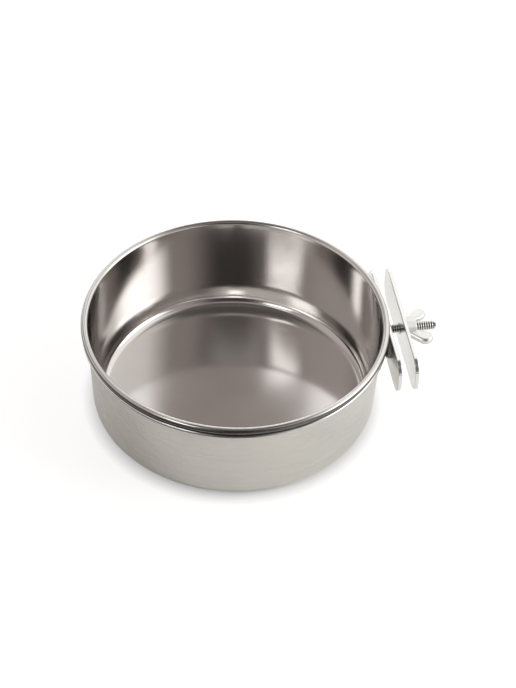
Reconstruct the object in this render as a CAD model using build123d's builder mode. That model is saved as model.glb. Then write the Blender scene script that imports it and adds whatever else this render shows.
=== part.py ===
from build123d import *
import os
from math import asin, cos, degrees, radians, sin, tan

# Seed cup with a bolt-on clamp for the side of a cage, in millimetres.
# The origin is the centre of the flat underside, +Z is up, and the clamp bolt runs out along +X.

# Cup, one drawn sheet whose rim is rolled into a lip, a groove and a bead
rim_diameter = 140.0
cup_height = 47.8
sheet = 0.7
wall_taper = 3.7
corner_radius = 6.5
lip_radius = 1.6
lip_drop = 80.0
groove_radius = 0.35
bead_lift = 80.0
bead_radius = 1.1
bead_turn_in = 120.0

# Saddle bracket, a bent strip between the wall and the fixed jaw, as tall as the jaws
saddle_strip = 1.0
saddle_width = 20.0
saddle_bend = 2.2
saddle_foot = 7.0
rim_clearance = 0.2

# Jaws, two flat plates
jaw_length = 70.0
jaw_height = 18.0
jaw_thickness = 1.8
jaw_corner = 6.5
jaw_edge = 0.35
jaw_gap = 6.05

# Clamp bolt with a domed head and a square neck
bolt_diameter = 4.76
bolt_length = 26.0
thread_pitch = 1.058
thread_flank = 30.0
tip_length = 0.8
tip_chamfer = 0.5
head_diameter = 11.0
head_height = 1.2
head_edge = 0.6
neck_setback = 0.5

# Wing nut
nut_base_diameter = 11.0
nut_end_diameter = 8.8
nut_height = 5.5
wing_reach = 8.4
wing_rise = 8.4
wing_lobe_radius = 3.6
wing_root_radius = 2.2
wing_root_reach = 4.4
wing_root_rise = 3.0
wing_thickness = 3.2
wing_edge = 1.3
wing_rest_tilt = -4.0
nut_edge = 0.4

# Clearances
head_room = 0.1
neck_clearance = 0.1
jaw_hole_clearance = 0.27
nut_clearance = 0.06

# Places that follow from the sizes
taper = radians(wall_taper)
lip_height = cup_height - lip_radius
lip_centre = (rim_diameter / 2 - lip_radius, lip_height)
lip_to_groove = lip_radius + groove_radius
groove_centre = (
    lip_centre[0] + lip_to_groove * cos(radians(lip_drop)),
    lip_height - lip_to_groove * sin(radians(lip_drop)),
)
groove_to_bead = groove_radius + bead_radius
bead_centre = (
    groove_centre[0] - groove_to_bead * cos(radians(bead_lift)),
    groove_centre[1] - groove_to_bead * sin(radians(bead_lift)),
)
lip_bore = lip_radius - sheet
wall_top = (lip_centre[0] - lip_bore * cos(taper), lip_height + lip_bore * sin(taper))


def wall_radius(height):
    """Outside radius of the cup's wall at a height above the base."""
    return wall_top[0] - (wall_top[1] - height) * tan(taper)


# The clamp hangs just under the rim, and each piece starts where the one before it ends
bolt_height = bead_centre[1] - bead_radius - rim_clearance - jaw_height / 2
web_inner = wall_radius(bolt_height) + head_room + head_height
web_outer = web_inner + saddle_strip
moving_face = web_outer + jaw_thickness + jaw_gap
nut_seat = moving_face + jaw_thickness
bolt_axis = Axis((0, 0, bolt_height), (1, 0, 0))
bolt_radius = bolt_diameter / 2
neck_hole = bolt_diameter + 2 * neck_clearance


def bolt_plane(place):
    """Plane across the bolt at X = place, with its origin on the bolt's axis."""
    return Plane((place, 0, bolt_height), x_dir=(0, 1, 0), z_dir=(1, 0, 0))


os.makedirs("parts", exist_ok=True)


def sheet_face(depth):
    """Draw one face of the sheet from the axis to the bead's free edge, and return its two ends."""
    lip = lip_bore + depth
    groove = groove_radius + sheet - depth
    bead = bead_radius - sheet + depth
    top = (lip_centre[0] - lip * cos(taper), lip_height + lip * sin(taper))
    foot = (top[0] - (top[1] - depth) * tan(taper), depth)
    rise = FilletPolyline((0, depth), foot, top, radius=corner_radius - depth)
    CenterArc(lip_centre, lip, 180 - wall_taper, wall_taper - 180 - lip_drop)
    CenterArc(groove_centre, groove, 180 - lip_drop, lip_drop + bead_lift)
    tuck = CenterArc(bead_centre, bead, bead_lift, -bead_lift - bead_turn_in)
    return rise @ 0, tuck @ 1


# Cup: the section lies between the sheet's two faces, closed on the axis and at the bead's free edge
with BuildPart() as cup_bowl:
    with BuildSketch(Plane.XZ):
        with BuildLine():
            under_axis, under_edge = sheet_face(0)
            inner_axis, inner_edge = sheet_face(sheet)
            Line(under_axis, inner_axis)
            Line(under_edge, inner_edge)
        make_face()
    revolve(axis=Axis.Z)

cup_bowl.part.label = "cup_bowl"
export_step(cup_bowl.part, "parts/cup_bowl.step")


# Saddle bracket: a U of strip whose legs end in feet that lie on the tapered wall
saddle_bottom = bolt_height - jaw_height / 2
saddle_top = bolt_height + jaw_height / 2
foot_start = asin((saddle_width / 2 - saddle_strip) / wall_radius(saddle_top))
foot_arc = degrees((saddle_strip + saddle_foot) / wall_radius(bolt_height))
foot_out = Vector(cos(foot_start), sin(foot_start), 0)
foot_plane = Plane((0, 0, 0), x_dir=foot_out, z_dir=foot_out.cross(Vector(0, 0, 1)))


def saddle_face(inset):
    """Draw one face of the U, from inside the wall and back, and return its two ends."""
    side = saddle_width / 2 - inset
    web = web_outer - inset
    root = wall_radius(saddle_bottom) - saddle_width / 2
    corners = ((root, side), (web, side), (web, -side), (root, -side))
    bend = FilletPolyline(*corners, radius=saddle_bend - inset)
    return bend @ 0, bend @ 1


with BuildPart() as saddle_bracket:
    with BuildSketch(Plane.XY.offset(saddle_bottom)):
        with BuildLine():
            outer_left, outer_right = saddle_face(0)
            inner_left, inner_right = saddle_face(saddle_strip)
            Line(outer_left, inner_left)
            Line(outer_right, inner_right)
        make_face()
    extrude(amount=jaw_height)
    Cone(
        wall_radius(0),
        wall_radius(cup_height),
        cup_height,
        align=(Align.CENTER, Align.CENTER, Align.MIN),
        mode=Mode.SUBTRACT,
    )
    with BuildSketch(foot_plane):
        Polygon(
            (wall_radius(saddle_bottom), saddle_bottom),
            (wall_radius(saddle_bottom) + saddle_strip, saddle_bottom),
            (wall_radius(saddle_top) + saddle_strip, saddle_top),
            (wall_radius(saddle_top), saddle_top),
            align=None,
        )
    foot = revolve(axis=Axis.Z, revolution_arc=foot_arc)
    mirror(foot, about=Plane.XZ)
    with BuildSketch(bolt_plane(web_inner)):
        Rectangle(neck_hole, neck_hole)
    extrude(amount=saddle_strip, mode=Mode.SUBTRACT)

saddle_bracket.part.label = "saddle_bracket"
export_step(saddle_bracket.part, "parts/saddle_bracket.step")


def jaw_outline(face):
    """Sketch of a jaw plate, standing on the plane X = face and centred on the bolt."""
    with BuildSketch(bolt_plane(face)) as outline:
        RectangleRounded(jaw_length, jaw_height, jaw_corner)
    return outline.sketch


# Fixed jaw: square hole for the bolt's neck
with BuildPart() as fixed_jaw:
    extrude(jaw_outline(web_outer), amount=jaw_thickness)
    fillet(fixed_jaw.faces().filter_by(Axis.X).edges(), jaw_edge)
    with BuildSketch(bolt_plane(web_outer)):
        Rectangle(neck_hole, neck_hole)
    extrude(amount=jaw_thickness, mode=Mode.SUBTRACT)

fixed_jaw.part.label = "fixed_jaw"
export_step(fixed_jaw.part, "parts/fixed_jaw.step")


# Thread: drawn as rings a pitch apart, with the flat crests and roots of the real form
thread_crest = thread_pitch / 8
thread_root_flat = thread_pitch / 4
flank_run = (thread_pitch - thread_crest - thread_root_flat) / 2
thread_root = bolt_radius - flank_run / tan(radians(thread_flank))
neck_length = saddle_strip + jaw_thickness - neck_setback
neck_end = web_inner + neck_length
bolt_end = web_inner + bolt_length
ring_count = int((bolt_end - tip_length - neck_end) / thread_pitch)


def thread_points():
    """Points along the top of the thread, ring by ring, out from the neck."""
    root = bolt_height + thread_root
    crest = bolt_height + bolt_radius
    points = []
    for ring in range(ring_count):
        place = neck_end + ring * thread_pitch
        points.append((place, root))
        points.append((place + thread_root_flat, root))
        points.append((place + thread_root_flat + flank_run, crest))
        points.append((place + thread_pitch - flank_run, crest))
    points.append((neck_end + ring_count * thread_pitch, root))
    return points


# Clamp bolt: domed head against the saddle, square neck, thread and a chamfered plain tip
with BuildPart() as clamp_bolt:
    with BuildSketch(Plane.XZ):
        with BuildLine():
            apex = (web_inner - head_height, bolt_height)
            shoulder = (web_inner - head_edge, bolt_height + head_diameter / 2)
            dome_rise = head_height - head_edge
            dome_radius = ((head_diameter / 2) ** 2 + dome_rise**2) / (2 * dome_rise)
            RadiusArc(shoulder, apex, -dome_radius)
            shank = Polyline(
                shoulder,
                (web_inner, bolt_height + head_diameter / 2),
                (web_inner, bolt_height + thread_root),
                *thread_points(),
                (bolt_end - tip_chamfer, bolt_height + thread_root),
                (bolt_end, bolt_height + thread_root - tip_chamfer),
                (bolt_end, bolt_height),
            )
            Line(shank @ 1, apex)
        make_face()
    revolve(axis=bolt_axis)
    with BuildSketch(bolt_plane(web_inner)):
        Rectangle(bolt_diameter, bolt_diameter)
    extrude(amount=neck_length)

clamp_bolt.part.label = "clamp_bolt"
export_step(clamp_bolt.part, "parts/clamp_bolt.step")


# Moving jaw: the same plate with a round hole that runs along the bolt
with BuildPart() as moving_jaw:
    extrude(jaw_outline(moving_face), amount=jaw_thickness)
    fillet(moving_jaw.faces().filter_by(Axis.X).edges(), jaw_edge)
    with BuildSketch(bolt_plane(moving_face)):
        Circle(bolt_radius + jaw_hole_clearance)
    extrude(amount=jaw_thickness, mode=Mode.SUBTRACT)

moving_jaw.part.label = "moving_jaw"
export_step(moving_jaw.part, "parts/moving_jaw.step")


# Wing nut: a tapered hub and two rounded wings that sweep out past it
tilt = radians(wing_rest_tilt)
wing_out = Vector(0, cos(tilt), sin(tilt))
wing_plane = Plane((nut_seat, 0, bolt_height), x_dir=wing_out, z_dir=wing_out.cross(Vector(1, 0, 0)))

with BuildPart() as wing_nut:
    for side in (-1, 1):
        with BuildSketch(wing_plane):
            with Locations((side * wing_reach, wing_rise)):
                Circle(wing_lobe_radius)
            with Locations((side * wing_root_reach, wing_root_rise)):
                Circle(wing_root_radius)
            make_hull()
        extrude(amount=wing_thickness / 2, both=True)
    fillet(wing_nut.faces().filter_by(wing_plane).edges(), wing_edge)
    with BuildSketch(Plane.XZ):
        with BuildLine():
            hub_side = FilletPolyline(
                (nut_seat, bolt_height),
                (nut_seat, bolt_height + nut_base_diameter / 2),
                (nut_seat + nut_height, bolt_height + nut_end_diameter / 2),
                (nut_seat + nut_height, bolt_height),
                radius=nut_edge,
            )
            Line(hub_side @ 1, hub_side @ 0)
        make_face()
    revolve(axis=bolt_axis)
    with BuildSketch(bolt_plane(nut_seat)):
        Circle(bolt_radius + nut_clearance)
    extrude(amount=nut_height, mode=Mode.SUBTRACT)

wing_nut.part.label = "wing_nut"
export_step(wing_nut.part, "parts/wing_nut.step")
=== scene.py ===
from math import cos, pi, radians, sin, tan

import bpy
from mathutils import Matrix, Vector


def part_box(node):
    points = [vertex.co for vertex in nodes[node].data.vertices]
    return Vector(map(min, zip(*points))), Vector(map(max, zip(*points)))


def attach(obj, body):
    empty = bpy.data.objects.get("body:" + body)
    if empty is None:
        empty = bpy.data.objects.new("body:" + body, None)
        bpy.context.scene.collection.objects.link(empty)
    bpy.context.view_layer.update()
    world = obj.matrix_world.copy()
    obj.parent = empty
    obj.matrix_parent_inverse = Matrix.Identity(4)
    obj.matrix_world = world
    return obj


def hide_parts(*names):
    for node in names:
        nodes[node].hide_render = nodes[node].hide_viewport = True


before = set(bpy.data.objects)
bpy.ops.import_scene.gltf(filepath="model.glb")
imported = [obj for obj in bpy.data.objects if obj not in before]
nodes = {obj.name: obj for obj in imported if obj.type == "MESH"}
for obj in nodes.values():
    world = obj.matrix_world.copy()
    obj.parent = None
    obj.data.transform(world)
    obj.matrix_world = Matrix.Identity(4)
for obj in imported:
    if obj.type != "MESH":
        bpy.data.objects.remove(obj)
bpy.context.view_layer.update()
MM = 0.001

# Cup section, as in the part's source: lengths in metres, angles in degrees
cup_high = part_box("cup_bowl")[1]
rim_radius = cup_high[0]
cup_height = cup_high[2]
sheet = 0.7 * MM
wall_taper = 3.7
corner_radius = 6.5 * MM
lip_radius = 1.6 * MM
lip_drop = 80.0
groove_radius = 0.35 * MM
bead_lift = 80.0
bead_radius = 1.1 * MM
bead_turn_in = 120.0

# Inside, the wall runs into its corner through a slower curve, up to this angle from upright
foot_radius = 28.0 * MM
foot_angle = 20.0

# Steps along each stretch of the section and round the cup, and the angle that counts as a sharp edge
floor_steps = 24
corner_steps = 14
foot_steps = 16
wall_steps = 16
lip_steps = 28
groove_steps = 16
bead_steps = 22
turn_steps = 288
sharp_angle = 40.0

# The groove's finish is rougher, and its very dark colour is painted shade for the crease; it also covers the
# last steps of the lip and the first of the bead
shaded_lip_steps = 12
shaded_bead_steps = 4

# Grime and painted shade in the bolt's thread: they are thickest at one radius and gone at the other, and the
# tip has none
grime_shade_radius = 1.78 * MM
clear_radius = 2.0 * MM
bolt_tip = 1.2 * MM
grime_shade_colour = (0.05, 0.05, 0.047)

# A noise texture keeps mostly between these values
noise_low = 0.3
noise_high = 0.7

# Photograph's view: the rim's centre in pixels, and the camera's place round the cup in degrees and metres
photo_width = 516
photo_height = 688
rim_centre_x = 235.5
rim_centre_y = 320.6
focal_pixels = 3000.0
camera_azimuth = -11.1
camera_elevation = 43.9
camera_roll = 2.0
camera_distance = 1.358

# Floor: half its width, and its paint and its own glow, each as the metal and as the camera sees it
floor_half = 6.0
floor_roughness = 0.9
paint_for_metal = 0.95
paint_for_camera = 0.35
glow_for_metal = 0.08
glow_for_camera = 0.8

# Contact shadow: how far it reaches, and the share of the floor's glow that is left at its darkest
contact_reach = 7 * MM
contact_share = 0.3
contact_samples = 8

# A lamp's own coordinates run from 0 to 1, so its edge is 0.5 from its middle. Its fade starts nearer in
lamp_edge = 0.5
lamp_fade_start = 0.15

# Cards that show in the metal only
card_glow = (0.33, 0.285, 0.27)
dark_card_paint = 0.03
dark_card_lift = 1 * MM


# Shader nodes
def tint(colour):
    """A colour with its alpha."""
    return (*colour, 1.0)


def grey(level):
    """A neutral colour with its alpha."""
    return tint((level, level, level))


def wire(tree, node, inputs):
    """Set a node's inputs to values, or link them to sockets."""
    for key, value in inputs.items():
        if isinstance(value, bpy.types.NodeSocket):
            tree.links.new(value, node.inputs[key])
        else:
            node.inputs[key].default_value = value


def add_node(tree, kind, inputs=None, **settings):
    """Add a shader node, set its attributes, and set or link its inputs."""
    made = tree.nodes.new(kind)
    for key, value in settings.items():
        setattr(made, key, value)
    wire(tree, made, inputs or {})
    return made


def maths(tree, operation, *values):
    """Socket with the result of an operation on numbers."""
    return add_node(tree, "ShaderNodeMath", dict(enumerate(values)), operation=operation).outputs[0]


def vector_maths(tree, operation, *values, result="Vector"):
    """Socket with the result of an operation on vectors."""
    made = add_node(tree, "ShaderNodeVectorMath", dict(enumerate(values)), operation=operation)
    return made.outputs[result]


def ramp(tree, value, low=0.0, high=1.0, at_low=0.0, at_high=1.0, smooth=False):
    """Socket that goes from one number to another as a value goes from low to high, and no further."""
    inputs = {"Value": value, "From Min": low, "From Max": high, "To Min": at_low, "To Max": at_high}
    course = "SMOOTHSTEP" if smooth else "LINEAR"
    return add_node(tree, "ShaderNodeMapRange", inputs, interpolation_type=course).outputs["Result"]


def mix(tree, share, first, second):
    """Socket with a colour between two colours, where a share of 0 is the first."""
    inputs = {"Factor": share, "A": first, "B": second}
    return add_node(tree, "ShaderNodeMix", inputs, data_type="RGBA").outputs[2]


def stretched_noise(tree, stretch, detail=3.0):
    """Socket with noise in the object's own space, drawn out along the axes where stretch is small."""
    place = add_node(tree, "ShaderNodeTexCoord")
    scaled = add_node(tree, "ShaderNodeMapping", {"Vector": place.outputs["Object"], "Scale": stretch})
    inputs = {"Vector": scaled.outputs["Vector"], "Scale": 1.0, "Detail": detail}
    return add_node(tree, "ShaderNodeTexNoise", inputs).outputs["Fac"]


# Materials
def new_material(name):
    """A new material, its node tree and its shader."""
    material = bpy.data.materials.new(name)
    material.use_nodes = True
    tree = material.node_tree
    return material, tree, tree.nodes["Principled BSDF"]


def metal(name, dark, light, rough, grain, grain_depth, patch=60.0):
    """A bare metal: slow colour change, roughness that follows its polishing lines, and the lines as bump."""
    material, tree, shader = new_material(name)
    lines = stretched_noise(tree, grain)
    cloud = stretched_noise(tree, (patch, patch, patch), detail=2.0)
    relief = add_node(tree, "ShaderNodeBump", {"Height": lines, "Strength": 1.0, "Distance": grain_depth})
    surface = {
        "Metallic": 1.0,
        "Base Color": mix(tree, cloud, tint(dark), tint(light)),
        "Roughness": ramp(tree, lines, noise_low, noise_high, rough[0], rough[1]),
        "Normal": relief.outputs["Normal"],
    }
    wire(tree, shader, surface)
    return material


def grime_and_shade_thread(material, axis_height, thread_end):
    """Darken a bolt that lies along X in the roots of its thread, but not its tip: grime, and painted shade
    in the thread's hollows.
    """
    tree = material.node_tree
    shader = tree.nodes["Principled BSDF"]
    plain_colour = shader.inputs["Base Color"].links[0].from_socket
    place = add_node(tree, "ShaderNodeTexCoord").outputs["Object"]
    lifted = vector_maths(tree, "SUBTRACT", place, (0, 0, axis_height))
    across = vector_maths(tree, "MULTIPLY", lifted, (0, 1, 1))
    radius = vector_maths(tree, "LENGTH", across, result="Value")
    along = add_node(tree, "ShaderNodeSeparateXYZ", {"Vector": place}).outputs["X"]
    tip = maths(tree, "GREATER_THAN", along, thread_end)
    # Share of the plain colour: painted shade and grime darken the thread's roots
    clear_share = maths(tree, "MAXIMUM", ramp(tree, radius, grime_shade_radius, clear_radius), tip)
    wire(tree, shader, {"Base Color": mix(tree, clear_share, tint(grime_shade_colour), plain_colour)})


def dress(piece, material):
    """Give a piece one material all over."""
    piece.data.materials.clear()
    piece.data.materials.append(material)


# Section of the cup
def stride(start, length, angle):
    """Point of the section at a distance from another, with the angle in degrees from straight out."""
    return start[0] + length * cos(radians(angle)), start[1] + length * sin(radians(angle))


def arc(centre, radius, start, sweep, steps):
    """Points along an arc of the section, with angles in degrees from straight out."""
    return [stride(centre, radius, start + sweep * step / steps) for step in range(steps + 1)]


def straight(start, end, steps):
    """Points along a straight stretch of the section."""
    out, up = end[0] - start[0], end[1] - start[1]
    return [(start[0] + out * step / steps, start[1] + up * step / steps) for step in range(steps + 1)]


def sheet_face(depth):
    """
    Points along one face of the cup's sheet, from the axis to the bead's free edge.
    Also gives how many of them come before the rim.
    Depth is 0 for the outer face, and the sheet's thickness for the inner face.
    """
    taper = radians(wall_taper)
    bore = lip_radius - sheet
    lip_centre = (rim_radius - lip_radius, cup_height - lip_radius)
    groove_centre = stride(lip_centre, lip_radius + groove_radius, -lip_drop)
    bead_centre = stride(groove_centre, groove_radius + bead_radius, bead_lift - 180)
    wall_top = stride(lip_centre, bore, 180 - wall_taper)

    def wall_out(height):
        """How far out the wall's outer face is at a height."""
        return wall_top[0] - (wall_top[1] - height) * tan(taper)

    tight_radius = corner_radius - depth
    if depth > 0:
        corner_end = foot_angle
        foot_height = corner_radius + (foot_radius - tight_radius) * sin(radians(foot_angle))
        foot_out = wall_out(foot_height) - (depth + foot_radius) / cos(taper)
        foot = arc((foot_out, foot_height), foot_radius, -foot_angle, foot_angle - wall_taper, foot_steps)[1:]
        corner_out = foot_out + (foot_radius - tight_radius) * cos(radians(foot_angle))
    else:
        corner_end = wall_taper
        foot = []
        corner_out = wall_out(corner_radius) - corner_radius / cos(taper)

    floor = straight((0.0, depth), (corner_out, depth), floor_steps)[:-1]
    corner = arc((corner_out, corner_radius), tight_radius, -90, 90 - corner_end, corner_steps) + foot
    lip = arc(lip_centre, bore + depth, 180 - wall_taper, wall_taper - 180 - lip_drop, lip_steps)
    groove_turn = lip_drop + bead_lift
    groove = arc(groove_centre, groove_radius + sheet - depth, 180 - lip_drop, groove_turn, groove_steps)
    bead = arc(bead_centre, bead_radius - sheet + depth, bead_lift, -bead_lift - bead_turn_in, bead_steps)
    wall = straight(corner[-1], lip[0], wall_steps)[1:-1]
    rise = floor + corner + wall
    return rise + lip + groove[1:] + bead[1:], len(rise)


def lathe(name, section, materials, finishes):
    """Turn a section that starts and ends on the axis about Z. Each of its spans has a finish."""
    verts = []
    rings = []
    for radius, height in section:
        if radius == 0:
            rings.append([len(verts)])
            verts.append((0, 0, height))
            continue
        rings.append(list(range(len(verts), len(verts) + turn_steps)))
        for turn in range(turn_steps):
            angle = 2 * pi * turn / turn_steps
            verts.append((radius * cos(angle), radius * sin(angle), height))
    faces = []
    finish_of_face = []
    for span in range(len(section) - 1):
        one, two = rings[span], rings[span + 1]
        for turn in range(turn_steps):
            after = (turn + 1) % turn_steps
            if len(one) == 1:
                face = (one[0], two[turn], two[after])
            elif len(two) == 1:
                face = (one[turn], two[0], one[after])
            else:
                face = (one[turn], two[turn], two[after], one[after])
            faces.append(face)
            finish_of_face.append(finishes[span])
    mesh = bpy.data.meshes.new(name)
    mesh.from_pydata(verts, [], faces)
    for material in materials:
        mesh.materials.append(material)
    mesh.polygons.foreach_set("material_index", finish_of_face)
    mesh.polygons.foreach_set("use_smooth", [True] * len(faces))
    mesh.set_sharp_from_angle(angle=radians(sharp_angle))
    piece = bpy.data.objects.new(name, mesh)
    bpy.context.collection.objects.link(piece)
    return piece


# Finishes: grain and patch are in noise cells a metre, and the grain's depth is in metres
inside_polish = metal(
    "inside_polish",
    dark=(0.62, 0.60, 0.585),
    light=(0.68, 0.66, 0.645),
    rough=(0.09, 0.14),
    grain=(90, 90, 2600),
    grain_depth=2e-6,
)
floor_polish = metal(
    "floor_polish",
    dark=(0.62, 0.60, 0.585),
    light=(0.67, 0.65, 0.635),
    rough=(0.09, 0.13),
    grain=(25, 25, 25),
    grain_depth=1e-5,
)
rim_polish = metal(
    "rim_polish",
    dark=(0.62, 0.605, 0.585),
    light=(0.68, 0.665, 0.645),
    rough=(0.08, 0.14),
    grain=(60, 60, 2600),
    grain_depth=2e-6,
)
# Rim groove: a rougher unpolished finish, with a very dark colour that is painted shade for the crease
# between lip and bead
groove_painted_shade = metal(
    "groove_painted_shade",
    dark=(0.13, 0.127, 0.12),
    light=(0.21, 0.205, 0.195),
    rough=(0.22, 0.32),
    grain=(60, 60, 2600),
    grain_depth=2e-6,
)
outside_satin = metal(
    "outside_satin",
    dark=(0.57, 0.56, 0.52),
    light=(0.70, 0.69, 0.645),
    rough=(0.25, 0.29),
    grain=(14, 14, 5000),
    grain_depth=3e-7,
    patch=38.0,
)
# The bracket's dark colour is painted shade for its place in shadow under the rim; its satin roughness is its
# own
bracket_satin_painted_shade = metal(
    "bracket_satin_painted_shade",
    dark=(0.17, 0.165, 0.16),
    light=(0.25, 0.245, 0.235),
    rough=(0.3, 0.42),
    grain=(1500, 1500, 200),
    grain_depth=6e-6,
)
jaw_plate = metal(
    "jaw_plate",
    dark=(0.75, 0.76, 0.745),
    light=(0.80, 0.81, 0.795),
    rough=(0.15, 0.22),
    grain=(500, 60, 500),
    grain_depth=2e-6,
)
bolt_plate = metal(
    "bolt_plate",
    dark=(0.80, 0.79, 0.77),
    light=(0.88, 0.87, 0.85),
    rough=(0.1, 0.16),
    grain=(400, 400, 400),
    grain_depth=1e-6,
)
nut_plate = metal(
    "nut_plate",
    dark=(0.72, 0.725, 0.705),
    light=(0.79, 0.795, 0.775),
    rough=(0.3, 0.42),
    grain=(500, 500, 500),
    grain_depth=1e-5,
)

# Cup: the sheet's inner face out to the bead's free edge, then back along its outer face
inner, inner_rise = sheet_face(sheet)
outer, outer_rise = sheet_face(0)
section = inner + outer[::-1]
cup_materials = (floor_polish, inside_polish, rim_polish, outside_satin, groove_painted_shade)
FLOOR, INSIDE, RIM, OUTSIDE, SHADED_GROOVE = range(len(cup_materials))
finishes = [FLOOR] * floor_steps + [INSIDE] * (inner_rise - floor_steps)
finishes += [RIM] * (len(section) - inner_rise - outer_rise) + [OUTSIDE] * outer_rise
# The groove's span of painted shade starts in the lip and ends in the bead
shaded_start = inner_rise + lip_steps - shaded_lip_steps
shaded_spans = shaded_lip_steps + groove_steps + shaded_bead_steps
finishes[shaded_start:shaded_start + shaded_spans] = [SHADED_GROOVE] * shaded_spans
cup = lathe("cup", section[::-1], cup_materials, finishes[::-1])
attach(cup, "cup")
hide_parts("cup_bowl")

# Clamp: the frame's own pieces
# The saddle bracket's dark colour is painted shade
dress(nodes["saddle_bracket"], bracket_satin_painted_shade)
dress(nodes["fixed_jaw"], jaw_plate)
dress(nodes["moving_jaw"], jaw_plate)
bolt = nodes["clamp_bolt"]
bolt_axis_height = sum(corner[2] for corner in bolt.bound_box) / len(bolt.bound_box)
bolt_end = max(corner[0] for corner in bolt.bound_box)
# The bolt's thread roots get grime and painted shade
grime_and_shade_thread(bolt_plate, bolt_axis_height, bolt_end - bolt_tip)
dress(bolt, bolt_plate)
dress(nodes["wing_nut"], nut_plate)


# Camera and studio: a place is given by its turn round the cup and its rise from level, in degrees
def picture_direction(turn, rise):
    """Direction from the cup: turn 0 is the picture's right, 90 the back and -90 the camera's side."""
    angle = radians(turn + camera_azimuth)
    return Vector((cos(angle) * cos(radians(rise)), sin(angle) * cos(radians(rise)), sin(radians(rise))))


def place_camera():
    """Put the rim's centre at its pixel in the photograph, seen from the photograph's angle."""
    forward = -picture_direction(-90, camera_elevation)
    right = picture_direction(0, 0)
    up = right.cross(forward)
    roll = radians(camera_roll)
    right, up = cos(roll) * right + sin(roll) * up, cos(roll) * up - sin(roll) * right
    across = (rim_centre_x - photo_width / 2) / focal_pixels * camera_distance
    above = (photo_height / 2 - rim_centre_y) / focal_pixels * camera_distance
    data = bpy.data.cameras.new("view")
    data.lens = focal_pixels * data.sensor_width / photo_height
    view = bpy.data.objects.new("view", data)
    bpy.context.collection.objects.link(view)
    matrix = view.matrix_world.to_3x3()
    matrix.col[0], matrix.col[1], matrix.col[2] = right, up, -forward
    view.matrix_world = matrix.to_4x4()
    view.location = Vector((0, 0, cup_height)) - across * right - above * up - camera_distance * forward
    bpy.context.scene.camera = view


def aim(piece, turn, rise, distance):
    """Place a lamp or card round the cup, facing it."""
    towards = picture_direction(turn, rise)
    piece.location = towards * distance
    piece.rotation_euler = towards.to_track_quat("Z", "Y").to_euler()


def softbox(name, turn, rise, distance, width, height, radiance, mirrored=True):
    """A soft lamp of that radiance in its middle, which fades towards its edges and may show in the metal."""
    data = bpy.data.lights.new(name, "AREA")
    data.shape = "RECTANGLE"
    data.size = width
    data.size_y = height
    data.energy = pi * width * height
    data.use_nodes = True
    tree = data.node_tree
    place = add_node(tree, "ShaderNodeNewGeometry").outputs["Parametric"]
    from_middle = vector_maths(tree, "SUBTRACT", place, (lamp_edge, lamp_edge, 0.0))
    away = add_node(tree, "ShaderNodeSeparateXYZ", {"Vector": vector_maths(tree, "ABSOLUTE", from_middle)})
    furthest = maths(tree, "MAXIMUM", away.outputs["X"], away.outputs["Y"])
    strength = ramp(tree, furthest, lamp_fade_start, lamp_edge, radiance, 0.0, smooth=True)
    wire(tree, tree.nodes["Emission"], {"Strength": strength})
    lamp = bpy.data.objects.new(name, data)
    bpy.context.collection.objects.link(lamp)
    aim(lamp, turn, rise, distance)
    lamp.visible_camera = False
    lamp.visible_glossy = mirrored


def panel(name, middle, across, above):
    """A matt sheet that reaches both ways from its middle, with its node tree and shader."""
    low, high = middle - above, middle + above
    corners = [low - across, low + across, high + across, high - across]
    mesh = bpy.data.meshes.new(name)
    mesh.from_pydata(corners, [], [(0, 1, 2, 3)])
    piece = bpy.data.objects.new(name, mesh)
    bpy.context.collection.objects.link(piece)
    material, tree, shader = new_material(name)
    wire(tree, shader, {"Specular IOR Level": 0.0})
    dress(piece, material)
    return piece, tree, shader


def show_in_metal_only(card):
    """Keep a card out of the picture, with no light or shadow of its own on the floor."""
    card.visible_camera = False
    card.visible_diffuse = False
    card.visible_shadow = False


def grey_card(turn, rise, distance, width, height):
    """A grey card behind the cup that shows in the cup's polished floor."""
    card, tree, shader = panel("card", Vector(), Vector((width / 2, 0, 0)), Vector((0, height / 2, 0)))
    wire(tree, shader, {"Base Color": grey(0), "Emission Color": tint(card_glow), "Emission Strength": 1.0})
    aim(card, turn, rise, distance)
    show_in_metal_only(card)


def dark_card(turn, distance, width, depth):
    """A black card that lies on the floor and shows in the rim."""
    middle = picture_direction(turn, 0) * distance + Vector((0, 0, dark_card_lift))
    ahead = picture_direction(turn, 0) * depth / 2
    aside = picture_direction(turn + 90, 0) * width / 2
    card, tree, shader = panel("dark_card", middle, ahead, aside)
    wire(tree, shader, {"Base Color": grey(dark_card_paint)})
    show_in_metal_only(card)


def make_floor():
    """A pale floor that shows white in the picture and keeps the cup's soft shadow."""
    floor, tree, shader = panel("floor", Vector(), Vector((floor_half, 0, 0)), Vector((0, floor_half, 0)))
    camera_ray = add_node(tree, "ShaderNodeLightPath").outputs["Is Camera Ray"]
    nook = add_node(tree, "ShaderNodeAmbientOcclusion", {"Distance": contact_reach}, samples=contact_samples)
    contact = ramp(tree, nook.outputs["AO"], at_low=contact_share)
    glow = ramp(tree, camera_ray, at_low=glow_for_metal, at_high=glow_for_camera)
    surface = {
        "Roughness": floor_roughness,
        "Base Color": mix(tree, camera_ray, grey(paint_for_metal), grey(paint_for_camera)),
        "Emission Color": grey(1),
        "Emission Strength": maths(tree, "MULTIPLY", glow, contact),
    }
    wire(tree, shader, surface)


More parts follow.
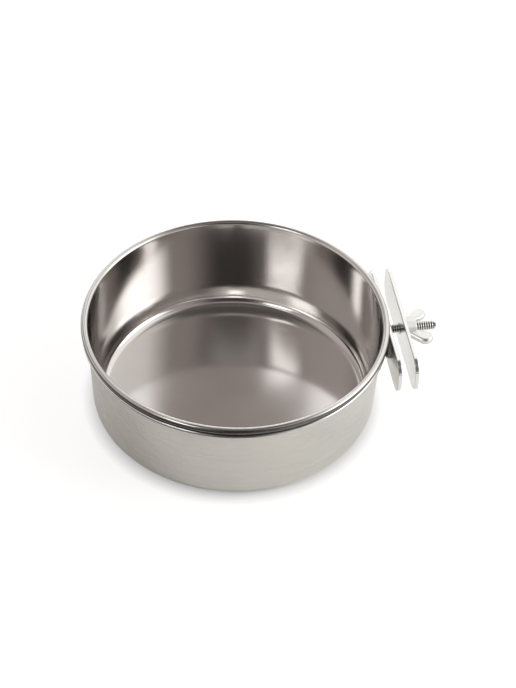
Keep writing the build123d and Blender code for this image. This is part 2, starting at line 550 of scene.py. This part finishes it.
def make_world():
    """A white back and horizon, a grey front, and a dark band on the side of the photograph's camera."""
    world = bpy.data.worlds.new("studio")
    world.use_nodes = True
    bpy.context.scene.world = world
    tree = world.node_tree
    direction = add_node(tree, "ShaderNodeTexCoord").outputs["Generated"]
    height = add_node(tree, "ShaderNodeSeparateXYZ", {"Vector": direction}).outputs["Z"]
    camera_ray = add_node(tree, "ShaderNodeLightPath").outputs["Is Camera Ray"]

    def part_along(turn):
        """How much of a ray's direction lies along a level direction."""
        return vector_maths(tree, "DOT_PRODUCT", direction, picture_direction(turn, 0), result="Value")

    def by_turn(middle, start, end, near, far):
        """Colour that changes between two angles round the cup on both sides of a middle turn."""
        angle = maths(tree, "ABSOLUTE", maths(tree, "ARCTAN2", part_along(middle + 90), part_along(middle)))
        return mix(tree, ramp(tree, angle, radians(start), radians(end), smooth=True), near, far)

    def by_rise(start, end, below, above):
        """Colour that changes between two angles from level."""
        share = ramp(tree, height, sin(radians(start)), sin(radians(end)), smooth=True)
        return mix(tree, share, below, above)

    white = grey(1)
    back = tint((1.25, 1.23, 1.2))
    left = tint((0.60, 0.54, 0.52))
    dull = tint((0.43, 0.385, 0.37))
    dim = tint((0.15, 0.13, 0.125))
    dark = tint((0.06, 0.055, 0.05))
    ceiling = tint((0.14, 0.13, 0.12))
    front = by_turn(middle=180, start=15, end=45, near=left, far=dull)
    walls = by_turn(middle=50, start=50, end=85, near=back, far=front)
    room = by_rise(start=8, end=22, below=white, above=walls)
    shade = by_rise(start=44, end=50, below=dark, above=dim)
    room = by_turn(middle=-86, start=8, end=42, near=shade, far=room)
    room = by_rise(start=55, end=72, below=room, above=ceiling)
    studio = by_rise(start=0, end=3, below=white, above=room)
    wire(tree, tree.nodes["Background"], {"Color": mix(tree, camera_ray, studio, white)})


place_camera()
make_floor()
make_world()
softbox("key", turn=-5, rise=28, distance=1.3, width=1.3, height=0.9, radiance=2.25)
softbox("fill", turn=-128, rise=46, distance=0.75, width=0.3, height=0.15, radiance=3.6)
softbox("wall_glow", turn=-130, rise=38, distance=0.43, width=0.24, height=0.02, radiance=4.6)
softbox("wash", turn=-8, rise=34, distance=1.2, width=0.8, height=0.8, radiance=4.6, mirrored=False)
softbox("back_glow", turn=92, rise=20, distance=0.9, width=0.4, height=0.16, radiance=4.2)
softbox("floor_glow", turn=85.7, rise=42.7, distance=0.463, width=0.026, height=0.03, radiance=1.4)
softbox("mirror_glow", turn=-153, rise=69.6, distance=0.226, width=0.074, height=0.024, radiance=2.1)
softbox("mirror_wash", turn=-90, rise=72.8, distance=0.236, width=0.12, height=0.05, radiance=0.34)
grey_card(turn=90.8, rise=44, distance=0.5, width=0.097, height=0.16)
dark_card(turn=-115, distance=0.333, width=0.6, depth=0.45)
bpy.context.scene.view_settings.view_transform = "Standard"
